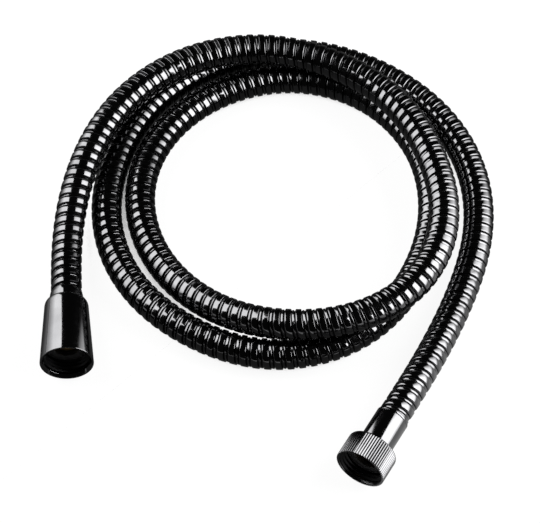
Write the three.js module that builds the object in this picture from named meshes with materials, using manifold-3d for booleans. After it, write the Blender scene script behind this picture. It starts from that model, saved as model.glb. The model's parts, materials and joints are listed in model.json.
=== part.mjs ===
// Shower hose, 1.5 m class, with a conical nut for the hand shower and a knurled nut for the valve.
// It lies coiled twice on a flat surface, as it comes to rest. Millimetres, +Z up, and the origin
// is on that surface under the middle of the coil.
import * as THREE from 'three';
import { mergeVertices } from 'three/addons/utils/BufferGeometryUtils.js';
import Module from 'manifold-3d';

// Clearances
const seatGap = 0.3;
const turnGap = 0.35;

// Hose: a wound steel armour with a rubber hose lying loose inside it
const hoseDiameter = 14;
const armourWall = 1;
const innerHosePlay = 1.1;
const innerHoseWall = 1;
const hoseSteps = 80;
const armourSides = 12;
const innerHoseSides = 8;

// Parts that both ends have alike: half-inch pipe thread, washer, barbed insert and ferrule
const threadDiameter = 20.4;
const threadReliefStep = 0.6;
const washerPlay = 1;
const washerHole = 11;
const washerThickness = 2;
const flangeThickness = 2.1;
const insertWall = 0.8;
const barbDepth = 0.35;
const barbCount = 4;
const tailSetback = 4;
const ferruleStep = 0.5;

// Conical nut
const coneLength = 33;
const coneThreadDepth = 10;
const coneMouthWall = 1.8;
const coneMouthChamfer = 0.7;
const coneNeckWall = 2.1;
const coneShoulderLength = 3;
const coneLipWall = 0.55;
const coneFerruleShow = 5.6;
const coneNoseLength = 2.2;
const coneNoseDrop = 0.4;

// Knurled nut
const knurledWall = 1.3;
const knurlRibs = 60;
const knurlDepth = 0.45;
const knurledThreadDepth = 7.7;
const knurledMouthChamfer = 0.4;
const knurledBackWall = 2.1;
const knurledBackRounding = 1.5;
const sleeveShow = 17.5;
const sleeveBand = 1.1;
const sleeveGrooveWidth = 0.4;
const sleeveGrooveDepth = 0.25;

// Where the two ends lie: the middle of each mouth, the way it faces in plan, counted from -Y
// towards +X, and how far it looks up. Each nut lies with its rim on the surface.
const coneMouthX = -90;
const coneMouthY = -63.9;
const coneHeading = 2.6;
const coneTilt = 2;
const knurledMouthX = 38.1;
const knurledMouthY = -118;
const knurledHeading = -29.5;

// Straight stretch of hose behind each ferrule
const straightLead = 14;

// Route of the hose's middle line, from the conical nut's end to the knurled nut's end.
// The first round climbs over the second one at the back and on the right, and comes down inside it.
const route = [
  [-92.1, 8, 12], [-86, 41, 18], [-69.4, 74, 21.5], [-41.4, 98.4, 21.8],
  [-6, 107.3, 21.5], [28.9, 98.2, 21.6], [57.4, 75.3, 21.8], [73.9, 42, 21.8],
  [77.9, 5.9, 21.8], [65.3, -26.1, 21.8], [38.2, -45.6, 21.8], [3.1, -47.6, 18.9],
  [-30.4, -30, 11.3], [-53.4, 0.3, 7.3], [-60.2, 35, 7], [-49, 69, 7],
  [-22.1, 93.3, 7], [12, 101.1, 7], [45.4, 89.1, 7], [68.6, 59.2, 7],
  [74.3, 22.5, 7], [63.6, -15.6, 7], [37.3, -45.9, 7], [0, -55.8, 7],
  [-36.7, -43, 7], [-64, -15.6, 7], [-75.1, 18, 7], [-71.8, 52.7, 7],
  [-55.9, 85.4, 7], [-26, 109, 7], [10, 116.7, 7], [44.6, 107.2, 7],
  [73.9, 83.9, 7], [91.3, 51.6, 7], [94.7, 14.5, 7.1], [86.6, -20, 7.2],
  [72.5, -54, 8.6],
];

// Sizes that follow from the values above
const innerHoseRadius = hoseDiameter / 2 - armourWall - innerHosePlay;
const insertTailRadius = innerHoseRadius - innerHoseWall - seatGap;
const insertBoreRadius = insertTailRadius - insertWall;
const ferruleRadius = hoseDiameter / 2 + ferruleStep;
const ferruleBoreRadius = innerHoseRadius + seatGap;
const threadRadius = threadDiameter / 2;
const reliefRadius = threadRadius - threadReliefStep;
const flangeRadius = reliefRadius - turnGap;
const neckBoreRadius = ferruleRadius + turnGap;
const coneMouthRadius = threadRadius + coneMouthWall;
const knurlRadius = threadRadius + knurledWall;

// Depths along a fitting, counted in from its mouth
function stationsOf(threadDepth, nutLength, ferruleShow) {
  const flangeFront = threadDepth + seatGap;
  const flangeBack = flangeFront + flangeThickness;
  const ferruleFront = flangeBack + seatGap;
  const length = nutLength ?? ferruleFront + knurledBackWall;
  const ferruleBack = length + ferruleShow;
  return {
    threadDepth, flangeFront, flangeBack, ferruleFront, ferruleBack, nutBack: length,
    washerBack: flangeFront - seatGap,
    tailEnd: ferruleBack - tailSetback,
    hoseStart: ferruleBack + seatGap,
    innerHoseStart: ferruleFront,
  };
}
const coneStations = stationsOf(coneThreadDepth, coneLength, coneFerruleShow);
const knurledStations = stationsOf(knurledThreadDepth, null, sleeveShow);

const blackChrome = new THREE.MeshStandardMaterial({ color: 0x1b1b1d, roughness: 0.12, metalness: 1 });
const brass = new THREE.MeshStandardMaterial({ color: 0xb08d57, roughness: 0.35, metalness: 1 });
const blackRubber = new THREE.MeshStandardMaterial({ color: 0x161616, roughness: 0.8, metalness: 0 });
const greyHose = new THREE.MeshStandardMaterial({ color: 0x3a3a3c, roughness: 0.7, metalness: 0 });

const wasm = await Module();
wasm.setup();

// A turned solid from a closed outline of [radius, depth] points, the outside running inwards
function turned(outline, segments) {
  const points = outline.map(([radius, depth]) => new THREE.Vector2(radius, depth));
  points.push(points[0].clone());
  return new THREE.LatheGeometry(points, segments);
}

// A turned blank or cutter without a hole, its outline closed on the axis at both ends
function turnedSolid(outline, segments) {
  const first = outline[0][1];
  const last = outline[outline.length - 1][1];
  const points = [[0, first], ...outline, [0, last]];
  return new THREE.LatheGeometry(points.map(([radius, depth]) => new THREE.Vector2(radius, depth)), segments);
}

function toManifold(geometry) {
  const bare = geometry.clone();
  bare.deleteAttribute('normal');
  bare.deleteAttribute('uv');
  const merged = mergeVertices(bare, 1e-4);
  const vertProperties = new Float32Array(merged.attributes.position.array);
  const triVerts = new Uint32Array(merged.index.array);
  return new wasm.Manifold(new wasm.Mesh({ numProp: 3, vertProperties, triVerts }));
}

function fromManifold(solid) {
  const mesh = solid.getMesh();
  const geometry = new THREE.BufferGeometry();
  geometry.setAttribute('position', new THREE.BufferAttribute(mesh.vertProperties, 3));
  geometry.setIndex(new THREE.BufferAttribute(mesh.triVerts, 1));
  geometry.computeVertexNormals();
  return geometry;
}

function named(name, geometry, material) {
  const mesh = new THREE.Mesh(geometry, material);
  mesh.name = name;
  return mesh;
}

// Quarter round from [radius, depth] at its start to a smaller radius further in
function quarterRound(startRadius, endRadius, startDepth, endDepth, steps) {
  const arc = [];
  for (let i = 0; i <= steps; i++) {
    const angle = (i / steps) * (Math.PI / 2);
    arc.push([
      endRadius + (startRadius - endRadius) * Math.cos(angle),
      startDepth + (endDepth - startDepth) * Math.sin(angle),
    ]);
  }
  return arc;
}

// The threaded socket and the neck bore, from the nut's back end to its mouth
function socketOutline(stations, chamfer) {
  return [
    [neckBoreRadius, stations.nutBack],
    [neckBoreRadius, stations.ferruleFront],
    [reliefRadius, stations.ferruleFront],
    [reliefRadius, stations.threadDepth],
    [threadRadius, stations.threadDepth],
    [threadRadius, chamfer],
    [threadRadius + chamfer, 0],
  ];
}

// Long smooth cone with a rounded shoulder; the hand shower's stem screws into its wide end
function conicalNut() {
  const neckRadius = neckBoreRadius + coneNeckWall;
  const lipRadius = neckBoreRadius + coneLipWall;
  const taperEnd = coneLength - coneShoulderLength;
  const chamfer = Math.min(coneMouthChamfer, coneMouthWall / 2);
  const outside = [[coneMouthRadius, 0], ...quarterRound(neckRadius, lipRadius, taperEnd, coneLength, 5)];
  return turned([...outside, ...socketOutline(coneStations, chamfer)], 48);
}

// Short nut with straight ribs all round: each groove is pressed into the round blank
function knurledNut() {
  const length = knurledStations.nutBack;
  const crest = knurlRadius;
  const root = crest - knurlDepth;
  const rounding = quarterRound(crest, crest - knurledBackRounding, length - knurledBackRounding, length, 4);
  const blank = turnedSolid([[crest, 0], ...rounding], knurlRibs * 3);
  const position = blank.attributes.position;
  const perColumn = rounding.length + 3;
  for (let i = 0; i < position.count; i++) {
    const column = Math.floor(i / perColumn);
    const radius = Math.hypot(position.getX(i), position.getZ(i));
    if (column % 3 === 2 && radius > root) {
      position.setX(i, position.getX(i) * (root / radius));
      position.setZ(i, position.getZ(i) * (root / radius));
    }
  }
  const socket = socketOutline(knurledStations, knurledMouthChamfer);
  const [neck, ...inner] = socket;
  const through = [[threadRadius + 2 * knurledMouthChamfer, -knurledMouthChamfer], ...inner.reverse()];
  const cutter = turnedSolid([...through, [neck[0], length + knurledMouthChamfer]], 48);
  return fromManifold(toManifold(blank).subtract(toManifold(cutter)));
}

// Flat sealing ring that lies on the insert's flange
function washer(stations) {
  const outer = threadRadius - washerPlay;
  const front = stations.washerBack - washerThickness;
  return turned([
    [outer, front], [outer, stations.washerBack],
    [washerHole / 2, stations.washerBack], [washerHole / 2, front],
  ], 36);
}

// Flange that the nut pulls on, with a barbed tail that the inner hose is pushed over
function insert(stations) {
  const root = insertTailRadius - barbDepth;
  const barbPitch = (stations.tailEnd - stations.ferruleFront) / barbCount;
  const barbs = [];
  for (let i = 0; i < barbCount; i++) {
    const start = stations.ferruleFront + i * barbPitch;
    barbs.push([root, start], [insertTailRadius, start]);
  }
  return turned([
    [flangeRadius, stations.flangeFront],
    [flangeRadius, stations.flangeBack],
    [root, stations.flangeBack],
    ...barbs,
    [root, stations.tailEnd],
    [insertBoreRadius, stations.tailEnd],
    [insertBoreRadius, stations.flangeFront],
  ], 24);
}

// Sleeve crimped over the inner hose and the insert's tail; the nut turns round it
function ferrule(stations, nose) {
  return turned([
    [ferruleRadius, stations.ferruleFront],
    ...nose,
    [ferruleBoreRadius, stations.ferruleBack],
    [ferruleBoreRadius, stations.ferruleFront],
  ], 36);
}

// Behind the conical nut the ferrule only shows as a short taper down to the hose
function coneFerrule() {
  const end = coneStations.ferruleBack;
  return ferrule(coneStations, [[ferruleRadius, end - coneNoseLength], [ferruleRadius - coneNoseDrop, end]]);
}

// Behind the knurled nut it is a long plain sleeve, with a fine groove before its end band
function sleeve() {
  const end = knurledStations.ferruleBack;
  const grooveRadius = ferruleRadius - sleeveGrooveDepth;
  return ferrule(knurledStations, [
    [ferruleRadius, end - sleeveBand - sleeveGrooveWidth],
    [grooveRadius, end - sleeveBand - sleeveGrooveWidth / 2],
    [ferruleRadius, end - sleeveBand],
    [ferruleRadius, end - sleeveGrooveDepth],
    [grooveRadius, end],
  ]);
}

// The way out of a mouth, from its heading and tilt in degrees
function outOf(heading, tilt) {
  const turn = THREE.MathUtils.degToRad(heading);
  const rise = THREE.MathUtils.degToRad(tilt);
  return new THREE.Vector3(
    Math.sin(turn) * Math.cos(rise),
    -Math.cos(turn) * Math.cos(rise),
    Math.sin(rise),
  );
}

const coneOut = outOf(coneHeading, coneTilt);
const coneRise = coneMouthRadius * Math.cos(THREE.MathUtils.degToRad(coneTilt));
const coneMouth = new THREE.Vector3(coneMouthX, coneMouthY, coneRise);
const knurledOut = outOf(knurledHeading, 0);
const knurledMouth = new THREE.Vector3(knurledMouthX, knurledMouthY, knurlRadius);

// A point on a fitting's own axis, at a depth counted in from its mouth
function within(mouth, out, depth) {
  return mouth.clone().addScaledVector(out, -depth);
}

// Middle line of the hose, its ends inside or at the fittings; a lead point keeps each end straight
function middleLine(coneDepths, knurledDepths) {
  const points = [
    ...coneDepths.map((depth) => within(coneMouth, coneOut, depth)),
    ...route.map(([x, y, z]) => new THREE.Vector3(x, y, z)),
    ...knurledDepths.map((depth) => within(knurledMouth, knurledOut, depth)),
  ];
  const line = new THREE.CatmullRomCurve3(points, false, 'centripetal');
  line.arcLengthDivisions = 2000;
  return line;
}

// Tube of a many-sided section along a line; its flats face up, down and sideways
function tube(line, outerRadius, innerRadius, sides) {
  const ring = (radius) => Array.from({ length: sides }, (_, i) => {
    const angle = ((i + 0.5) / sides) * 2 * Math.PI;
    return new THREE.Vector2(radius * Math.cos(angle), radius * Math.sin(angle));
  });
  const section = new THREE.Shape(ring(outerRadius));
  section.holes.push(new THREE.Path(ring(innerRadius)));
  return new THREE.ExtrudeGeometry(section, { steps: hoseSteps, curveSegments: 1, extrudePath: line });
}

function armour() {
  const line = middleLine(
    [coneStations.hoseStart, coneStations.hoseStart + straightLead],
    [knurledStations.hoseStart + straightLead, knurledStations.hoseStart],
  );
  return tube(line, hoseDiameter / 2, hoseDiameter / 2 - armourWall, armourSides);
}

function innerHose() {
  const line = middleLine(
    [coneStations.innerHoseStart, coneStations.hoseStart, coneStations.hoseStart + straightLead],
    [knurledStations.hoseStart + straightLead, knurledStations.hoseStart, knurledStations.innerHoseStart],
  );
  return tube(line, innerHoseRadius, innerHoseRadius - innerHoseWall, innerHoseSides);
}

// The pieces of one end, built along +Y from the mouth inwards and then laid where the end lies
function fitting(mouth, out, pieces) {
  const group = new THREE.Group();
  group.position.copy(mouth);
  group.quaternion.setFromUnitVectors(new THREE.Vector3(0, 1, 0), out.clone().negate());
  group.add(...pieces);
  return group;
}

const showerHose = new THREE.Group();
showerHose.add(
  named('hose_armour', armour(), blackChrome),
  named('inner_hose', innerHose(), greyHose),
  fitting(coneMouth, coneOut, [
    named('conical_nut', conicalNut(), blackChrome),
    named('cone_washer', washer(coneStations), blackRubber),
    named('cone_insert', insert(coneStations), brass),
    named('cone_ferrule', coneFerrule(), blackChrome),
  ]),
  fitting(knurledMouth, knurledOut, [
    named('knurled_nut', knurledNut(), blackChrome),
    named('knurled_washer', washer(knurledStations), blackRubber),
    named('knurled_insert', insert(knurledStations), brass),
    named('knurled_ferrule', sleeve(), blackChrome),
  ]),
);

export default showerHose;
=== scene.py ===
import json
import math

import bmesh
import bpy
import numpy as np
from mathutils import Matrix, Vector


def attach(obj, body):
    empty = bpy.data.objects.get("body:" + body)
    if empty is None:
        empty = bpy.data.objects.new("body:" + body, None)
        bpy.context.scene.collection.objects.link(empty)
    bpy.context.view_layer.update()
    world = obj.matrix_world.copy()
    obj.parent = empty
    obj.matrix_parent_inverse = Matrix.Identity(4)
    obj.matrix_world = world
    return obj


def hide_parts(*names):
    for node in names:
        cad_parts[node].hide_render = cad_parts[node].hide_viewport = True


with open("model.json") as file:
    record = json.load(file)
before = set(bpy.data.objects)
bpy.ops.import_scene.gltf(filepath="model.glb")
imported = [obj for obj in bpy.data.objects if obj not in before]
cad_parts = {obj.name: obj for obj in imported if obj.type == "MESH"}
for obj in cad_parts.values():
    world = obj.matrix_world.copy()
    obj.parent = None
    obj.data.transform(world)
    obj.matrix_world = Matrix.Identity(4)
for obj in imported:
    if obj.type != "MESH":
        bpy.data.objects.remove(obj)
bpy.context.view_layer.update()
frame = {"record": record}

scene = bpy.context.scene
scene.view_settings.view_transform = "Standard"


# Camera at the photograph's angle, about 55 degrees above the floor
cameraView = {
    "sensorWidth": 36.0,
    "focalLength": 196.67,
    "aim": (-0.0005, -0.0053, 0.007),
    "distance": 1.337,
    "elevation": 54.5,
}

camera = bpy.data.objects.new("camera", bpy.data.cameras.new("camera"))
scene.collection.objects.link(camera)
camera.data.sensor_fit = "HORIZONTAL"
camera.data.sensor_width = cameraView["sensorWidth"]
camera.data.lens = cameraView["focalLength"]
rise = math.radians(cameraView["elevation"])
towardsCamera = Vector((0, -math.cos(rise), math.sin(rise)))
camera.location = Vector(cameraView["aim"]) + cameraView["distance"] * towardsCamera
camera.rotation_euler = (math.pi / 2 - rise, 0, 0)
scene.camera = camera
print("camera placed")


# Small helpers
perMetre = 1000       # millimetres in a metre: pieces are shaped in the first and placed in the second
sharpEdge = 38        # degrees, edges that turn more than this stay crisp
weldDistance = 1e-4   # mm, corners closer than this are one corner
pureWhite = (1.0, 1.0, 1.0, 1.0)


def linear(colour):
    values = [int(colour[i:i + 2], 16) / 255 for i in (1, 3, 5)]
    return (*[v / 12.92 if v <= 0.04045 else ((v + 0.055) / 1.055) ** 2.4 for v in values], 1.0)


def addNode(tree, kind, settings=None, links=None):
    node = tree.nodes.new(kind)
    for name, value in (settings or {}).items():
        if isinstance(name, int) or name in node.inputs:
            node.inputs[name].default_value = value
        else:
            setattr(node, name, value)
    for name, source in (links or {}).items():
        tree.links.new(source, node.inputs[name])
    return node


def newMaterial(name):
    material = bpy.data.materials.new(name)
    material.use_nodes = True
    material.node_tree.nodes.clear()
    return material, material.node_tree


def addPiece(name, mesh, body, material, stands=()):
    # the mesh comes here in metres, already in its place
    piece = bpy.data.objects.new(name, mesh)
    scene.collection.objects.link(piece)
    mesh.materials.append(material)
    mesh.shade_smooth()
    mesh.set_sharp_from_angle(angle=math.radians(sharpEdge))
    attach(piece, body)
    if stands:
        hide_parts(*stands)
    print("made", name, len(mesh.polygons), "faces")
    return piece


# Materials
chromeLook = {
    "bright": "#5a5a5b",         # black chrome: a thin dark plating over bright nickel, still a mirror
    "deep": "#515152",           # where the plating went on thicker
    "patch": 14.0,               # mm, size of the thicker patches
    "patchEdge": (0.35, 0.65),   # part of the noise over which bright turns to deep
    "haze": 3.5,                 # mm, size of the finger haze
    "hazeEdge": (0.3, 0.7),
    "roughness": (0.07, 0.13),   # clean and hazed
    "ripple": 2.2,               # mm, waviness left by polishing
    "rippleDepth": 0.0008,       # mm
    "drawLine": 0.22,            # mm between the fine lines that rolling leaves along the strip
    "drawLength": 40.0,          # mm
    "drawDepth": 0.0003,         # mm
    "grooveShadeColour": "#1c1c1d",     # painted shade: darker metal down in the strip's groove, where shade falls; the groove is also left rougher, as nothing polishes it
    "grooveDepth": (0.50, 0.78), # mm below the crest, where the painted shade and the dulling start and are full
    "grooveRoughness": 0.45,
    "shadedThreadColour": "#2e2e2f",      # painted shade on the cut threads inside the sockets
    "threadShadeAndDullness": 0.85,
    "threadRoughness": 0.42,
    "turnPitch": 4.8,            # mm, one turn of the strip
    "turnRound": 44.0,           # mm, once round the hose
}


def blackChrome(name, wound=False, dull=0.0):
    # electroplated black chrome: mirror bright, neutral dark grey, slightly uneven in depth
    look = chromeLook
    material, tree = newMaterial(name)
    where = addNode(tree, "ShaderNodeTexCoord")
    spot = where.outputs["Object"]
    patches = addNode(tree, "ShaderNodeTexNoise", {"Scale": perMetre / look["patch"], "Detail": 2.0},
                      {"Vector": spot})
    patchMix = addNode(tree, "ShaderNodeMapRange",
                       {"From Min": look["patchEdge"][0], "From Max": look["patchEdge"][1]},
                       {"Value": patches.outputs["Fac"]})
    colour = addNode(tree, "ShaderNodeMix",
                     {"data_type": "RGBA", 6: linear(look["bright"]), 7: linear(look["deep"])},
                     {0: patchMix.outputs["Result"]})
    haze = addNode(tree, "ShaderNodeTexNoise",
                   {"Scale": perMetre / look["haze"], "Detail": 4.0, "Roughness": 0.6}, {"Vector": spot})
    rough = addNode(tree, "ShaderNodeMapRange",
                    {"From Min": look["hazeEdge"][0], "From Max": look["hazeEdge"][1],
                     "To Min": look["roughness"][0], "To Max": look["roughness"][1]},
                    {"Value": haze.outputs["Fac"]})
    ripple = addNode(tree, "ShaderNodeTexNoise", {"Scale": perMetre / look["ripple"], "Detail": 1.0},
                     {"Vector": spot})
    bump = addNode(tree, "ShaderNodeBump", {"Distance": look["rippleDepth"] / perMetre},
                   {"Height": ripple.outputs["Fac"]})
    colourOut = colour.outputs[2]
    roughOut = rough.outputs["Result"]
    if wound:
        # the strip's own map: X runs along it in turns, Y across it from groove to groove
        stretch = (look["turnRound"] / look["drawLength"], look["turnPitch"] / look["drawLine"], 1.0)
        along = addNode(tree, "ShaderNodeMapping", {"Scale": stretch}, {"Vector": where.outputs["UV"]})
        lines = addNode(tree, "ShaderNodeTexNoise", {"Scale": 1.0, "Detail": 2.0},
                        {"Vector": along.outputs["Vector"]})
        bump = addNode(tree, "ShaderNodeBump", {"Distance": look["drawDepth"] / perMetre},
                       {"Height": lines.outputs["Fac"], "Normal": bump.outputs["Normal"]})
        # painted shade: the strip's colour darkens with depth below the crest, down into the groove, and its
        # roughness rises there
        sunk = addNode(tree, "ShaderNodeAttribute", {"attribute_name": "sunk"})
        groove = addNode(tree, "ShaderNodeMapRange",
                         {"From Min": look["grooveDepth"][0], "From Max": look["grooveDepth"][1],
                          "interpolation_type": "SMOOTHSTEP"},
                         {"Value": sunk.outputs["Fac"]})
        colourOut = addNode(tree, "ShaderNodeMix", {"data_type": "RGBA", 7: linear(look["grooveShadeColour"])},
                            {0: groove.outputs["Result"], 6: colourOut}).outputs[2]
        roughOut = addNode(tree, "ShaderNodeMix", {"data_type": "FLOAT", 3: look["grooveRoughness"]},
                           {0: groove.outputs["Result"], 2: roughOut}).outputs[0]
    if dull:
        # painted shade: the cut threads inside the sockets are coloured darker, where shade falls, and left
        # rougher, never polished
        colourOut = addNode(tree, "ShaderNodeMix",
                            {"data_type": "RGBA", 0: dull, 7: linear(look["shadedThreadColour"])},
                            {6: colourOut}).outputs[2]
        roughOut = addNode(tree, "ShaderNodeMix",
                           {"data_type": "FLOAT", 0: dull, 3: look["threadRoughness"]},
                           {2: roughOut}).outputs[0]
    metal = addNode(tree, "ShaderNodeBsdfPrincipled", {"Metallic": 1.0},
                    {"Base Color": colourOut, "Roughness": roughOut, "Normal": bump.outputs["Normal"]})
    addNode(tree, "ShaderNodeOutputMaterial", links={"Surface": metal.outputs["BSDF"]})
    return material


brassLook = {
    "clean": "#e0c38a",        # freshly turned brass
    "dull": "#c2a269",         # where it has started to tarnish
    "patch": 5.0,              # mm
    "roughness": (0.22, 0.4),  # clean and tarnished
    "toolMark": 0.35,          # mm, size of the tool's marks, drawn coarser than the real 0.1 to show
    "markDepth": 0.004,        # mm
}


def turnedBrass(name):
    # bare machined brass: bright yellow metal with the fine marks of the tool
    look = brassLook
    material, tree = newMaterial(name)
    spot = addNode(tree, "ShaderNodeTexCoord").outputs["Object"]
    patches = addNode(tree, "ShaderNodeTexNoise", {"Scale": perMetre / look["patch"], "Detail": 4.0},
                      {"Vector": spot})
    colour = addNode(tree, "ShaderNodeMix",
                     {"data_type": "RGBA", 6: linear(look["clean"]), 7: linear(look["dull"])},
                     {0: patches.outputs["Fac"]})
    marks = addNode(tree, "ShaderNodeTexNoise", {"Scale": perMetre / look["toolMark"], "Detail": 1.0},
                    {"Vector": spot})
    bump = addNode(tree, "ShaderNodeBump", {"Distance": look["markDepth"] / perMetre},
                   {"Height": marks.outputs["Fac"]})
    rough = addNode(tree, "ShaderNodeMapRange",
                    {"To Min": look["roughness"][0], "To Max": look["roughness"][1]},
                    {"Value": patches.outputs["Fac"]})
    metal = addNode(tree, "ShaderNodeBsdfPrincipled", {"Metallic": 1.0},
                    {"Base Color": colour.outputs[2], "Roughness": rough.outputs["Result"],
                     "Normal": bump.outputs["Normal"]})
    addNode(tree, "ShaderNodeOutputMaterial", links={"Surface": metal.outputs["BSDF"]})
    return material


rubberLook = {
    "washer": {"colours": ("#262626", "#1e1e1f"), "roughness": 0.6},
    "innerHose": {"colours": ("#606062", "#56565a"), "roughness": 0.5},
    "roughnessSpread": 0.08,
    "patch": 6.0,              # mm, faint blotches
    "grain": 0.4,              # mm, the mould's fine texture, drawn a little coarse to show
    "grainDepth": 0.012,       # mm
}


def mouldedRubber(name, kind):
    # moulded nitrile rubber: matt and dark, with a faint satin from the mould
    look = rubberLook
    colours = look[kind]["colours"]
    roughness = look[kind]["roughness"]
    spread = look["roughnessSpread"]
    material, tree = newMaterial(name)
    spot = addNode(tree, "ShaderNodeTexCoord").outputs["Object"]
    patches = addNode(tree, "ShaderNodeTexNoise", {"Scale": perMetre / look["patch"], "Detail": 3.0},
                      {"Vector": spot})
    colour = addNode(tree, "ShaderNodeMix",
                     {"data_type": "RGBA", 6: linear(colours[0]), 7: linear(colours[1])},
                     {0: patches.outputs["Fac"]})
    grain = addNode(tree, "ShaderNodeTexNoise", {"Scale": perMetre / look["grain"], "Detail": 2.0},
                    {"Vector": spot})
    bump = addNode(tree, "ShaderNodeBump", {"Distance": look["grainDepth"] / perMetre},
                   {"Height": grain.outputs["Fac"]})
    rough = addNode(tree, "ShaderNodeMapRange", {"To Min": roughness - spread, "To Max": roughness + spread},
                    {"Value": patches.outputs["Fac"]})
    rubber = addNode(tree, "ShaderNodeBsdfPrincipled", {"IOR": 1.5},
                     {"Base Color": colour.outputs[2], "Roughness": rough.outputs["Result"],
                      "Normal": bump.outputs["Normal"]})
    addNode(tree, "ShaderNodeOutputMaterial", links={"Surface": rubber.outputs["BSDF"]})
    return material


woundChrome = blackChrome("blackChromeWoundStrip", wound=True)
nutChrome = blackChrome("blackChromePolishedNut")
# the threads' chrome is darkened as painted shade inside the sockets
threadChrome = blackChrome("blackChromeCutThread", dull=chromeLook["threadShadeAndDullness"])
brass = turnedBrass("turnedBrass")
washerRubber = mouldedRubber("nitrileRubberWasher", "washer")
innerRubber = mouldedRubber("rubberInnerHose", "innerHose")
print("materials ready")


# The two ends: each nut's mouth and axis, from the model's own hinges
def endOf(jointName):
    joint = next(j for j in frame["record"]["behaviour"]["joints"] if j["name"] == jointName)
    mouth = np.array(joint["pos_m"]) * perMetre
    outward = np.array(joint["axis"])
    return {"mouth": mouth, "outward": outward / np.linalg.norm(outward)}


coneEnd = endOf("conical_nut_spin")
knurledEnd = endOf("knurled_nut_spin")


def inward(end, depth):
    return end["mouth"] - end["outward"] * depth


# The hose's middle line, in millimetres, the same points as in the part's source
hoseLine = {
    "coneDepths": [38.9, 52.9],      # mm in from each mouth, where the hose still runs straight
    "knurledDepths": [44.3, 30.3],
    "step": 0.5,                     # mm between the places at which the line is looked up
    "samplesPerGap": 60,
    "route": [
        (-92.1, 8, 12), (-86, 41, 18), (-69.4, 74, 21.5), (-41.4, 98.4, 21.8), (-6, 107.3, 21.5),
        (28.9, 98.2, 21.6), (57.4, 75.3, 21.8), (73.9, 42, 21.8), (77.9, 5.9, 21.8), (65.3, -26.1, 21.8),
        (38.2, -45.6, 21.8), (3.1, -47.6, 18.9), (-30.4, -30, 11.3), (-53.4, 0.3, 7.3), (-60.2, 35, 7),
        (-49, 69, 7), (-22.1, 93.3, 7), (12, 101.1, 7), (45.4, 89.1, 7), (68.6, 59.2, 7), (74.3, 22.5, 7),
        (63.6, -15.6, 7), (37.3, -45.9, 7), (0, -55.8, 7), (-36.7, -43, 7), (-64, -15.6, 7), (-75.1, 18, 7),
        (-71.8, 52.7, 7), (-55.9, 85.4, 7), (-26, 109, 7), (10, 116.7, 7), (44.6, 107.2, 7),
        (73.9, 83.9, 7), (91.3, 51.6, 7), (94.7, 14.5, 7.1), (86.6, -20, 7.2), (72.5, -54, 8.6),
    ],
}


def smoothLine(points, firstWay, lastWay, step):
    # a cubic spline with even curvature through the points, sampled evenly along its length
    points = np.array(points, float)
    gaps = np.linalg.norm(np.diff(points, axis=0), axis=1)
    count = len(points)
    rows = np.zeros((count, count))
    right = np.zeros((count, 3))
    rows[0, 0] = rows[-1, -1] = 1
    right[0] = firstWay
    right[-1] = lastWay
    for i in range(1, count - 1):
        before, after = gaps[i - 1], gaps[i]
        rows[i, i - 1:i + 2] = after, 2 * (before + after), before
        slopeIn = (points[i] - points[i - 1]) / before
        slopeOut = (points[i + 1] - points[i]) / after
        right[i] = 3 * (after * slopeIn + before * slopeOut)
    slopes = np.linalg.solve(rows, right)
    dense = []
    for i, gap in enumerate(gaps):
        t = np.linspace(0, 1, hoseLine["samplesPerGap"], endpoint=False)[:, None]
        dense.append(points[i] * (1 + 2 * t) * (1 - t) ** 2 + slopes[i] * gap * t * (1 - t) ** 2
                     + points[i + 1] * t * t * (3 - 2 * t) + slopes[i + 1] * gap * t * t * (t - 1))
    dense = np.vstack([*dense, points[-1:]])
    reach = np.r_[0, np.cumsum(np.linalg.norm(np.diff(dense, axis=0), axis=1))]
    evenly = np.linspace(0, reach[-1], int(reach[-1] / step) + 1)
    return evenly, np.column_stack([np.interp(evenly, reach, dense[:, k]) for k in range(3)])


knots = [inward(coneEnd, d) for d in hoseLine["coneDepths"]] + hoseLine["route"]
knots += [inward(knurledEnd, d) for d in hoseLine["knurledDepths"]]
reach, middle = smoothLine(knots, -coneEnd["outward"], knurledEnd["outward"], hoseLine["step"])
hoseLength = reach[-1]
heading = np.gradient(middle, reach, axis=0)
heading /= np.linalg.norm(heading, axis=1)[:, None]
across = np.cross(heading, (0.0, 0.0, 1.0))
across /= np.linalg.norm(across, axis=1)[:, None]
upward = np.cross(across, heading)
print("hose line", round(hoseLength, 1), "mm")


def alongHose(places, distance):
    # points of a straight tube (x, y across it) at their distance along the hose, in metres
    def at(table):
        return np.column_stack([np.interp(distance, reach, table[:, k]) for k in range(3)])
    return (at(middle) + places[:, :1] * at(upward) + places[:, 1:2] * at(across)) / perMetre


# Armour: one profiled steel strip wound round and round, each turn hooked over the last
armourShape = {
    "outerRadius": 7.0,
    "boreRadius": 6.0,
    "sides": 22,
    "boreSides": 12,
    "boreStep": 5.0,
    "nominalPitch": 4.8,
    "spareTurns": 2,        # wound past each end and cut off square
    "lookups": 3000,        # places along the hose at which turns are counted
    "weld": 2e-3,           # mm, neighbouring turns closer than this are joined
    # pitch by distance from the cone end: the turns open a little where the hose leaves the knurled nut
    "pitchAlong": [(0, 4.8), (1300, 4.8), (1370, 5.5), (1405, 5.5)],
    # (share of the pitch, depth below the crest) of one turn, starting in the groove: first the ledge, which
    # slopes in under the wide band, then the flat band with a crisp near edge and a rounded far shoulder
    "profile": [
        (0.0, 0.85), (0.06, 0.85), (0.08, 0.46), (0.105, 0.40), (0.21, 0.53), (0.32, 0.72), (0.35, 0.84),
        (0.37, 0.08), (0.39, 0.0), (0.78, 0.0), (0.845, 0.02), (0.89, 0.09), (0.925, 0.24), (0.95, 0.52),
        (0.965, 0.85), (1.0, 0.85),
    ],
}


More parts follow.
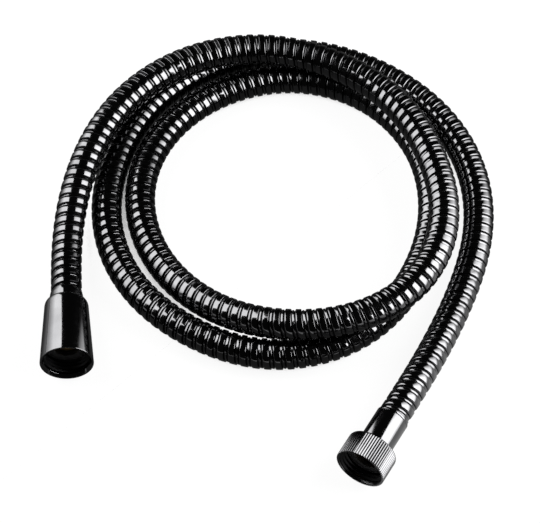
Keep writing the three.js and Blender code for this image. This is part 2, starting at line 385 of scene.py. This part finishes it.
def windArmour(shape):
    pitch = shape["nominalPitch"]
    spare = shape["spareTurns"]
    places = np.linspace(0, hoseLength, shape["lookups"])
    pitchThere = np.interp(places, *zip(*shape["pitchAlong"]))
    turnsTo = np.r_[0, np.cumsum(np.diff(places) * 2 / (pitchThere[1:] + pitchThere[:-1]))]
    length = turnsTo[-1] * pitch
    bm = bmesh.new()
    chain = []
    for share, drop in shape["profile"]:
        chain.append(bm.verts.new((shape["outerRadius"] - drop, 0, (share - spare) * pitch)))
    for a, b in zip(chain, chain[1:]):
        bm.edges.new((a, b))
    bmesh.ops.spin(bm, geom=bm.verts[:] + bm.edges[:], cent=(0, 0, 0), axis=(0, 0, 1),
                   dvec=(0, 0, pitch / shape["sides"]), angle=2 * math.pi, steps=shape["sides"],
                   use_merge=False, use_duplicate=False)
    turns = 1
    while turns < turnsTo[-1] + 2 * spare:
        copied = bmesh.ops.duplicate(bm, geom=bm.verts[:] + bm.edges[:] + bm.faces[:])
        moved = [g for g in copied["geom"] if isinstance(g, bmesh.types.BMVert)]
        bmesh.ops.translate(bm, verts=moved, vec=(0, 0, turns * pitch))
        turns *= 2
    for height, way in ((0, -1), (length, 1)):
        bmesh.ops.bisect_plane(bm, geom=bm.verts[:] + bm.edges[:] + bm.faces[:], dist=weldDistance,
                               plane_co=(0, 0, height), plane_no=(0, 0, way), clear_outer=True)
    bmesh.ops.remove_doubles(bm, verts=bm.verts[:], dist=shape["weld"])
    bmesh.ops.create_cone(bm, cap_ends=False, segments=shape["boreSides"], radius1=shape["boreRadius"],
                          radius2=shape["boreRadius"], depth=length,
                          matrix=Matrix.Translation((0, 0, length / 2)))
    lengthwise = [e for e in bm.edges if e.calc_length() > length / 2]
    bmesh.ops.subdivide_edges(bm, edges=lengthwise, cuts=int(length / shape["boreStep"]), use_grid_fill=False)
    for height in (0, length):
        openEdges = [e for e in bm.edges if e.is_boundary]
        rims = [e for e in openEdges if all(abs(v.co.z - height) < shape["weld"] for v in e.verts)]
        bmesh.ops.bridge_loops(bm, edges=rims)
    bmesh.ops.recalc_face_normals(bm, faces=bm.faces[:])
    print("armour", round(turnsTo[-1], 1), "turns, open edges", sum(not e.is_manifold for e in bm.edges))
    mesh = bpy.data.meshes.new("hoseArmourWound")
    bm.to_mesh(mesh)
    bm.free()
    return mesh, lambda z: np.interp(z / pitch, turnsTo, places)


def mapStrip(mesh, shape):
    # lays the strip out flat: X counts turns along it, Y runs across it from groove to groove
    pitch = shape["nominalPitch"]
    points = np.empty(len(mesh.vertices) * 3, np.float32)
    mesh.vertices.foreach_get("co", points)
    points = points.reshape(-1, 3).astype(float)
    corners = np.empty(len(mesh.loops), np.int32)
    mesh.loops.foreach_get("vertex_index", corners)
    sizes = np.empty(len(mesh.polygons), np.int32)
    mesh.polygons.foreach_get("loop_total", sizes)
    owner = np.repeat(np.arange(len(sizes)), sizes)
    places = points[corners]
    centre = np.column_stack([np.bincount(owner, places[:, k]) / sizes for k in range(3)])
    turnOf = np.arctan2(places[:, 1], places[:, 0]) / (2 * math.pi)
    turnMid = (np.arctan2(centre[:, 1], centre[:, 0]) / (2 * math.pi))[owner]
    turnOf -= np.round(turnOf - turnMid)
    share = places[:, 2] / pitch - turnOf
    whole = np.floor(centre[:, 2][owner] / pitch - turnMid)
    # depth below the crest, which the wound strip's material reads to paint shade into the groove
    sunk = mesh.attributes.new("sunk", "FLOAT", "POINT")
    depth = shape["outerRadius"] - np.hypot(points[:, 0], points[:, 1])
    sunk.data.foreach_set("value", depth.astype(np.float32))
    layout = mesh.uv_layers.new(name="strip")
    values = np.column_stack([whole + turnOf, share - whole]).astype(np.float32)
    layout.data.foreach_set("uv", values.ravel())
    return points


armourMesh, distanceAt = windArmour(armourShape)
straight = mapStrip(armourMesh, armourShape)
coiled = alongHose(straight, distanceAt(straight[:, 2]))
armourMesh.vertices.foreach_set("co", coiled.astype(np.float32).ravel())
armourMesh.update()
armour = addPiece("armour_wound", armourMesh, "hose", woundChrome, ["hose_armour"])


# Turned pieces: a profile spun round its fitting's axis
cornerSegments = 4


def placed(end):
    # local z runs inwards from the mouth, and millimetres become metres
    z = Vector(-end["outward"])
    x = z.cross(Vector((0, 0, 1))).normalized()
    y = z.cross(x)
    turn = Matrix((x, y, z)).transposed().to_4x4()
    return Matrix.Translation(Vector(end["mouth"]) / perMetre) @ turn @ Matrix.Scale(1 / perMetre, 4)


def outline(bm, corners):
    # corners are (radius, depth) or (radius, depth, rounding)
    ring = [bm.verts.new((c[0], 0, c[1])) for c in corners]
    for a, b in zip(ring, ring[1:] + ring[:1]):
        bm.edges.new((a, b))
    for vert, corner in zip(ring, corners):
        if len(corner) > 2:
            bmesh.ops.bevel(bm, geom=[vert], offset=corner[2], offset_type="OFFSET", profile=0.5,
                            segments=cornerSegments, affect="VERTICES", material=-1)


def spun(name, end, corners, steps, reshape=None):
    bm = bmesh.new()
    outline(bm, corners)
    bmesh.ops.spin(bm, geom=bm.verts[:] + bm.edges[:], cent=(0, 0, 0), axis=(0, 0, 1), dvec=(0, 0, 0),
                   angle=2 * math.pi, steps=steps, use_merge=True, use_duplicate=False)
    bmesh.ops.remove_doubles(bm, verts=bm.verts[:], dist=weldDistance)
    bmesh.ops.recalc_face_normals(bm, faces=bm.faces[:])
    if reshape:
        reshape(bm)
    bmesh.ops.transform(bm, matrix=placed(end), verts=bm.verts[:])
    mesh = bpy.data.meshes.new(name)
    bm.to_mesh(mesh)
    bm.free()
    return mesh


def quarterRound(outer, inner, start, end, steps):
    turns = [math.pi / 2 * i / steps for i in range(steps + 1)]
    return [(inner + (outer - inner) * math.cos(t), start + (end - start) * math.sin(t)) for t in turns]


def socket(shape):
    # from the back of the nut through its neck, past the washer's seat and up the threaded wall
    edge = shape["edgeRounding"]
    return [
        (shape["boreRadius"], shape["length"], shape["neckRounding"]),
        (shape["boreRadius"], shape["seatDepth"], edge),
        (shape["seatRadius"], shape["seatDepth"]), (shape["seatRadius"], shape["threadDepth"], edge),
        (shape["threadRadius"], shape["threadDepth"]), (shape["threadRadius"], shape["chamferDepth"], edge),
    ]


# Conical nut: a long smooth cone, socket at the wide end
coneNutShape = {
    "mouthRadius": 12.0, "taperEnd": 30.0, "neckRadius": 9.95, "length": 33.0, "lipRadius": 8.4,
    "rimRounding": 0.3, "chamferRadius": 11.3, "chamferDepth": 1.3, "chamferRounding": 0.35,
    "neckRounding": 0.12, "edgeRounding": 0.1, "backSteps": 8,
    "threadRadius": 10.2, "threadDepth": 10.0, "seatRadius": 9.6, "seatDepth": 12.7, "boreRadius": 7.85,
    "steps": 144,
}


def conicalNut(shape):
    back = quarterRound(shape["neckRadius"], shape["lipRadius"], shape["taperEnd"], shape["length"],
                        shape["backSteps"])
    return [(shape["chamferRadius"], 0, shape["chamferRounding"]),
            (shape["mouthRadius"], 0, shape["rimRounding"]), *back, *socket(shape)]


addPiece("conical_nut_turned", spun("conicalNut", coneEnd, conicalNut(coneNutShape), coneNutShape["steps"]),
         "conical_nut_body", nutChrome, ["conical_nut"])

# Knurled nut: sixty straight ribs from the mouth's rim into the rounded back
knurledNutShape = {
    "crestRadius": 11.5, "ribDepth": 0.32, "ribs": 60, "stepsPerRib": 8, "crestShare": 0.25,
    "length": 12.5, "backRounding": 1.5, "rimRounding": 0.3, "chamferRadius": 10.6, "chamferDepth": 0.4,
    "neckRounding": 0.12, "edgeRounding": 0.1, "backSteps": 6,
    "threadRadius": 10.2, "threadDepth": 7.7, "seatRadius": 9.6, "seatDepth": 10.4, "boreRadius": 7.85,
}


def knurledNut(shape):
    back = quarterRound(shape["crestRadius"], shape["crestRadius"] - shape["backRounding"],
                        shape["length"] - shape["backRounding"], shape["length"], shape["backSteps"])
    return [(shape["chamferRadius"], 0, shape["edgeRounding"]),
            (shape["crestRadius"], 0, shape["rimRounding"]), *back, *socket(shape)]


def cutRibs(bm):
    shape = knurledNutShape
    root = shape["crestRadius"] - shape["ribDepth"]
    for vert in bm.verts:
        radius = math.hypot(vert.co.x, vert.co.y)
        if radius > root:
            turn = math.atan2(vert.co.y, vert.co.x) * shape["ribs"] / (2 * math.pi)
            across = abs(turn - round(turn)) * 2
            cut = min(1, max(0, (across - shape["crestShare"]) / (1 - shape["crestShare"])))
            limit = shape["crestRadius"] - shape["ribDepth"] * cut
            if radius > limit:
                vert.co.x *= limit / radius
                vert.co.y *= limit / radius


knurledSteps = knurledNutShape["ribs"] * knurledNutShape["stepsPerRib"]
knurled = addPiece("knurled_nut_turned",
                   spun("knurledNut", knurledEnd, knurledNut(knurledNutShape), knurledSteps, cutRibs),
                   "knurled_nut_body", nutChrome, ["knurled_nut"])


# Internal pipe thread, fourteen turns to the inch, fading in at both ends
threadShape = {
    "pitch": 1.814, "wallRadius": 10.3, "crestRadius": 9.45, "foot": 0.8, "tip": 0.14, "stepsPerTurn": 48,
    "fade": 0.5,       # turns over which it rises from the wall at each end
    "leastRise": 0.02, # so that the faded ends keep some thickness
    "coneRun": (2.6, 9.0), "knurledRun": (0.9, 6.9),
}


def internalThread(name, end, run):
    shape = threadShape
    turns = (run[1] - run[0]) / shape["pitch"]
    bm = bmesh.new()
    outline(bm, [(shape["wallRadius"], run[0] - shape["foot"]),
                 (shape["crestRadius"], run[0] - shape["tip"]),
                 (shape["crestRadius"], run[0] + shape["tip"]),
                 (shape["wallRadius"], run[0] + shape["foot"])])
    steps = int(turns * shape["stepsPerTurn"])
    bmesh.ops.spin(bm, geom=bm.verts[:] + bm.edges[:], cent=(0, 0, 0), axis=(0, 0, 1),
                   dvec=(0, 0, (run[1] - run[0]) / steps), angle=2 * math.pi * turns, steps=steps,
                   use_merge=False, use_duplicate=False)
    bmesh.ops.holes_fill(bm, edges=[e for e in bm.edges if e.is_boundary], sides=0)
    bmesh.ops.recalc_face_normals(bm, faces=bm.faces[:])
    for vert in bm.verts:
        radius = math.hypot(vert.co.x, vert.co.y)
        part = math.atan2(vert.co.y, vert.co.x) / (2 * math.pi)
        turn = part + round((vert.co.z - run[0]) / shape["pitch"] - part)
        rise = min(1, max(0, turn / shape["fade"]), max(0, (turns - turn) / shape["fade"]))
        share = max(shape["leastRise"], rise * rise * (3 - 2 * rise))
        grown = shape["wallRadius"] - (shape["wallRadius"] - radius) * share
        vert.co.x *= grown / radius
        vert.co.y *= grown / radius
    bmesh.ops.transform(bm, matrix=placed(end), verts=bm.verts[:])
    mesh = bpy.data.meshes.new(name)
    bm.to_mesh(mesh)
    bm.free()
    return mesh


addPiece("conical_nut_thread", internalThread("coneThread", coneEnd, threadShape["coneRun"]),
         "conical_nut_body", threadChrome)
knurledThread = addPiece("knurled_nut_thread",
                         internalThread("knurledThread", knurledEnd, threadShape["knurledRun"]),
                         "knurled_nut_body", threadChrome)


# Washers: flat rings lying against each insert's flange
washerShape = {"outerRadius": 9.2, "holeRadius": 5.5, "thickness": 2.0, "rounding": 0.2, "steps": 96,
               "coneDepth": 8.0, "knurledDepth": 5.7}


def washerRing(front):
    shape = washerShape
    back = front + shape["thickness"]
    return [(shape["holeRadius"], front, shape["rounding"]), (shape["outerRadius"], front, shape["rounding"]),
            (shape["outerRadius"], back, shape["rounding"]), (shape["holeRadius"], back, shape["rounding"])]


addPiece("conical_nut_washer",
         spun("coneWasher", coneEnd, washerRing(washerShape["coneDepth"]), washerShape["steps"]),
         "conical_nut_body", washerRubber, ["cone_washer"])
knurledWasher = addPiece("knurled_nut_washer",
                         spun("knurledWasher", knurledEnd, washerRing(washerShape["knurledDepth"]),
                              washerShape["steps"]),
                         "knurled_nut_body", washerRubber, ["knurled_washer"])


# Brass inserts: a flange that the nut draws on to the washer, and a barbed tail inside the hose
insertShape = {"flangeRadius": 9.25, "tailRadius": 3.6, "rootRadius": 3.25, "boreRadius": 2.8, "barbs": 4,
               "mouthRounding": 0.3, "flangeRounding": 0.2, "barbRounding": 0.05, "endRounding": 0.1,
               "steps": 96,
               "cone": {"flange": (10.3, 12.4), "barbStart": 12.7, "tailEnd": 34.6},
               "knurled": {"flange": (8.0, 10.1), "barbStart": 10.4, "tailEnd": 26.0}}


def barbedInsert(depths):
    shape = insertShape
    front, back = depths["flange"]
    pitch = (depths["tailEnd"] - depths["barbStart"]) / shape["barbs"]
    barbs = []
    for i in range(shape["barbs"]):
        start = depths["barbStart"] + i * pitch
        barbs += [(shape["rootRadius"], start), (shape["tailRadius"], start, shape["barbRounding"])]
    return [(shape["boreRadius"], front, shape["mouthRounding"]),
            (shape["flangeRadius"], front, shape["flangeRounding"]),
            (shape["flangeRadius"], back, shape["flangeRounding"]), (shape["rootRadius"], back), *barbs,
            (shape["rootRadius"], depths["tailEnd"], shape["endRounding"]),
            (shape["boreRadius"], depths["tailEnd"], shape["endRounding"])]


addPiece("cone_insert_turned",
         spun("coneInsert", coneEnd, barbedInsert(insertShape["cone"]), insertShape["steps"]),
         "hose", brass, ["cone_insert"])
knurledInsert = addPiece("knurled_insert_turned",
                         spun("knurledInsert", knurledEnd, barbedInsert(insertShape["knurled"]),
                              insertShape["steps"]),
                         "hose", brass, ["knurled_insert"])


# Ferrules: a short nose behind the cone, a long plain sleeve behind the knurled nut
ferruleShape = {
    "radius": 7.5, "boreRadius": 5.2, "steps": 128, "startRounding": 0.2,
    "coneStart": 12.7, "coneNose": 36.4, "coneEnd": 38.6, "noseDrop": 0.4, "noseRounding": 0.5,
    "shoulderRounding": 0.3,
    "sleeveStart": 10.4, "sleeveEnd": 30.0, "grooveAt": 28.7, "grooveWidth": 0.4, "grooveDepth": 0.25,
    "grooveRounding": 0.06, "endChamfer": 0.25, "endRounding": 0.1,
}


def ferruleNose(shape):
    radius = shape["radius"]
    return [(shape["boreRadius"], shape["coneStart"]), (radius, shape["coneStart"], shape["startRounding"]),
            (radius, shape["coneNose"], shape["shoulderRounding"]),
            (radius - shape["noseDrop"], shape["coneEnd"], shape["noseRounding"]),
            (shape["boreRadius"], shape["coneEnd"])]


def plainSleeve(shape):
    radius = shape["radius"]
    half = shape["grooveWidth"] / 2
    rounding = shape["grooveRounding"]
    return [(shape["boreRadius"], shape["sleeveStart"]),
            (radius, shape["sleeveStart"], shape["startRounding"]),
            (radius, shape["grooveAt"] - half, rounding),
            (radius - shape["grooveDepth"], shape["grooveAt"], rounding),
            (radius, shape["grooveAt"] + half, rounding),
            (radius, shape["sleeveEnd"] - shape["endChamfer"], shape["endRounding"]),
            (radius - shape["endChamfer"], shape["sleeveEnd"], shape["endRounding"]),
            (shape["boreRadius"], shape["sleeveEnd"])]


addPiece("cone_ferrule_turned",
         spun("coneFerrule", coneEnd, ferruleNose(ferruleShape), ferruleShape["steps"]),
         "hose", nutChrome, ["cone_ferrule"])
knurledSleeve = addPiece("knurled_sleeve_turned",
                         spun("knurledSleeve", knurledEnd, plainSleeve(ferruleShape), ferruleShape["steps"]),
                         "hose", nutChrome, ["knurled_ferrule"])


# Inner hose: the plain rubber hose that carries the water
innerShape = {"outerRadius": 4.9, "boreRadius": 3.9, "sides": 20, "step": 4.0,
              "coneDepth": 12.7, "knurledDepth": 10.4}


def rubberHose(shape):
    before = hoseLine["coneDepths"][0] - shape["coneDepth"]
    after = hoseLine["knurledDepths"][-1] - shape["knurledDepth"]
    length = hoseLength + before + after
    bm = bmesh.new()
    for radius in (shape["outerRadius"], shape["boreRadius"]):
        bmesh.ops.create_circle(bm, cap_ends=False, segments=shape["sides"], radius=radius)
    bmesh.ops.bridge_loops(bm, edges=bm.edges[:])
    grown = bmesh.ops.extrude_face_region(bm, geom=bm.faces[:])["geom"]
    farEnd = [g for g in grown if isinstance(g, bmesh.types.BMVert)]
    bmesh.ops.translate(bm, verts=farEnd, vec=(0, 0, length))
    bmesh.ops.subdivide_edges(bm, edges=[e for e in bm.edges if e.calc_length() > length / 2],
                              cuts=int(length / shape["step"]), use_grid_fill=False)
    bmesh.ops.recalc_face_normals(bm, faces=bm.faces[:])
    print("inner hose, open edges", sum(not e.is_manifold for e in bm.edges))
    points = np.array([v.co for v in bm.verts])
    distance = points[:, 2] - before
    bent = alongHose(points, np.clip(distance, 0, hoseLength))
    pastCone = np.minimum(distance, 0)[:, None] * heading[:1]
    pastKnurled = np.maximum(distance - hoseLength, 0)[:, None] * heading[-1:]
    for vert, place in zip(bm.verts, bent + (pastCone + pastKnurled) / perMetre):
        vert.co = place
    mesh = bpy.data.meshes.new("innerHose")
    bm.to_mesh(mesh)
    bm.free()
    return mesh


innerHose = addPiece("inner_hose_rubber", rubberHose(innerShape), "hose", innerRubber,
                     ["inner_hose"])


# Floor and background: plain white to the eye, with the hose's soft shadow kept and painted shade in the
# narrow crevices between strands
backdropLook = {
    "floorHalf": 30.0,         # m
    "floorDrop": 0.0001,       # m below the hose's underside, so that the two never share a surface
    "floorColour": "#f2f2f2",
    "shine": 0.93,             # how much of the floor's white is its own
    "creviceReach": 0.012,     # m, how far apart two strands still get painted shade on the floor between them
    "crevice": (0.03, 0.20),   # openness of the floor at which the painted shade is full and at which it is white
    "floorAtHose": 0.09,       # painted light and shade seen only in the bright metal: how brightly the floor glows close by the hose and out by the two lamps
    "floorAtRight": 1.0,
    "floorAtLeft": 0.8,
    "rightSlant": -0.6,        # the painted bright part at the right begins nearer towards the front
    "rightFade": (0.105, 0.13),
    "leftFade": (-0.12, -0.17),
    "metalSky": 0.015,         # what the bright metal sees of the sky
    "fill": 0.12,              # the sky's light on everything else
}


def paleFloor(look):
    material, tree = newMaterial("matWhiteBoard")
    ray = addNode(tree, "ShaderNodeLightPath")
    mirrored = addNode(tree, "ShaderNodeMath", {"operation": "MAXIMUM"},
                       {0: ray.outputs["Is Glossy Ray"], 1: ray.outputs["Is Transmission Ray"]})
    matt = addNode(tree, "ShaderNodeBsdfDiffuse", {"Color": linear(look["floorColour"])})
    # painted shade: the floor's own white glow is dimmed by how closed in it is, so crevices between strands
    # read dark
    openness = addNode(tree, "ShaderNodeAmbientOcclusion", {"samples": 8, "Distance": look["creviceReach"]})
    shade = addNode(tree, "ShaderNodeMapRange",
                    {"From Min": look["crevice"][0], "From Max": look["crevice"][1]},
                    {"Value": openness.outputs["AO"]})
    white = addNode(tree, "ShaderNodeEmission", {"Color": pureWhite}, {"Strength": shade.outputs["Result"]})
    # painted light: for mirrored rays the floor glows dim near the hose and brighter towards the two lamps, a
    # painted pool of their light
    where = addNode(tree, "ShaderNodeTexCoord")
    sideways = addNode(tree, "ShaderNodeSeparateXYZ", links={"Vector": where.outputs["Object"]})
    frontRight = addNode(tree, "ShaderNodeMath", {"operation": "MULTIPLY_ADD", 1: look["rightSlant"]},
                         {0: sideways.outputs["Y"], 2: sideways.outputs["X"]})
    toRight = addNode(tree, "ShaderNodeMapRange",
                      {"From Min": look["rightFade"][0], "From Max": look["rightFade"][1],
                       "To Min": 0.0, "To Max": look["floorAtRight"] - look["floorAtHose"]},
                      {"Value": frontRight.outputs["Value"]})
    toLeft = addNode(tree, "ShaderNodeMapRange",
                     {"From Min": look["leftFade"][0], "From Max": look["leftFade"][1],
                      "To Min": look["floorAtHose"], "To Max": look["floorAtLeft"]},
                     {"Value": sideways.outputs["X"]})
    glow = addNode(tree, "ShaderNodeMath", {"operation": "ADD"},
                   {0: toRight.outputs["Result"], 1: toLeft.outputs["Result"]})
    dim = addNode(tree, "ShaderNodeEmission", {"Color": pureWhite}, {"Strength": glow.outputs["Value"]})
    seen = addNode(tree, "ShaderNodeMath", {"operation": "MULTIPLY", 1: look["shine"]},
                   {0: ray.outputs["Is Camera Ray"]})
    toEye = addNode(tree, "ShaderNodeMixShader", links={0: seen.outputs["Value"], 1: matt.outputs["BSDF"],
                                                        2: white.outputs["Emission"]})
    toAll = addNode(tree, "ShaderNodeMixShader",
                    links={0: mirrored.outputs["Value"], 1: toEye.outputs["Shader"],
                           2: dim.outputs["Emission"]})
    addNode(tree, "ShaderNodeOutputMaterial", links={"Surface": toAll.outputs["Shader"]})
    return material


floorBm = bmesh.new()
bmesh.ops.create_grid(floorBm, x_segments=1, y_segments=1, size=backdropLook["floorHalf"],
                      matrix=Matrix.Translation((0, 0, -backdropLook["floorDrop"])))
floorMesh = bpy.data.meshes.new("floor")
floorBm.to_mesh(floorMesh)
floorBm.free()
floorMesh.materials.append(paleFloor(backdropLook))
floor = bpy.data.objects.new("floor", floorMesh)
scene.collection.objects.link(floor)


def plainSky(look):
    world = bpy.data.worlds.new("plainSky")
    world.use_nodes = True
    tree = world.node_tree
    tree.nodes.clear()
    ray = addNode(tree, "ShaderNodeLightPath")
    white = addNode(tree, "ShaderNodeBackground", {"Color": pureWhite, "Strength": 1.0})
    fill = addNode(tree, "ShaderNodeBackground", {"Color": pureWhite, "Strength": look["fill"]})
    dim = addNode(tree, "ShaderNodeBackground", {"Color": pureWhite, "Strength": look["metalSky"]})
    mirrored = addNode(tree, "ShaderNodeMath", {"operation": "MAXIMUM"},
                       {0: ray.outputs["Is Glossy Ray"], 1: ray.outputs["Is Transmission Ray"]})
    mixed = addNode(tree, "ShaderNodeMixShader",
                    links={0: mirrored.outputs["Value"], 1: fill.outputs["Background"],
                           2: dim.outputs["Background"]})
    final = addNode(tree, "ShaderNodeMixShader",
                    links={0: ray.outputs["Is Camera Ray"], 1: mixed.outputs["Shader"],
                           2: white.outputs["Background"]})
    addNode(tree, "ShaderNodeOutputWorld", links={"Surface": final.outputs["Shader"]})
    scene.world = world


plainSky(backdropLook)

# Two softboxes standing close by, one each side, seen as bright bands in the chrome
lamps = {
    "left": {
        "place": (-0.38, 0.27, 0.385), "facing": (0, 0.265, 0.385), "size": (0.68, 0.77), "radiance": 7.0,
        "foot": 0.20, "full": 0.25,     # brightness at the foot, and the share of the height at full
        "backFade": (0.0, 0.12),        # places across the front, from dark to full
    },
    "right": {
        "place": (0.47, 0.09, 0.36), "facing": (0, 0.05, 0.36), "size": (0.68, 0.72), "radiance": 11.0,
        "foot": 0.30, "full": 0.15,
        "backFade": (1.0, 0.50),
    },
}


def softFront(tree, lamp):
    # the cloth front of a softbox: dimmer towards its foot, and fading out at its back edge
    place = addNode(tree, "ShaderNodeNewGeometry")
    across = addNode(tree, "ShaderNodeSeparateXYZ", links={"Vector": place.outputs["Parametric"]})
    rise = addNode(tree, "ShaderNodeMapRange",
                   {"From Min": 0.0, "From Max": lamp["full"], "To Min": lamp["foot"]},
                   {"Value": across.outputs["Y"]})
    edge = addNode(tree, "ShaderNodeMapRange",
                   {"From Min": lamp["backFade"][0], "From Max": lamp["backFade"][1]},
                   {"Value": across.outputs["X"]})
    both = addNode(tree, "ShaderNodeMath", {"operation": "MULTIPLY"},
                   {0: rise.outputs["Result"], 1: edge.outputs["Result"]})
    glow = addNode(tree, "ShaderNodeEmission", links={"Strength": both.outputs["Value"]})
    addNode(tree, "ShaderNodeOutputLight", links={"Surface": glow.outputs["Emission"]})


for name, lamp in lamps.items():
    light = bpy.data.lights.new(name, "AREA")
    light.shape = "RECTANGLE"
    light.size, light.size_y = lamp["size"]
    light.energy = lamp["radiance"] * math.pi * lamp["size"][0] * lamp["size"][1]
    light.use_nodes = True
    light.node_tree.nodes.clear()
    softFront(light.node_tree, lamp)
    softbox = bpy.data.objects.new(name, light)
    softbox.location = lamp["place"]
    away = Vector(lamp["place"]) - Vector(lamp["facing"])
    softbox.rotation_euler = away.to_track_quat("Z", "Y").to_euler()
    softbox.visible_camera = False
    scene.collection.objects.link(softbox)
print("lights placed")
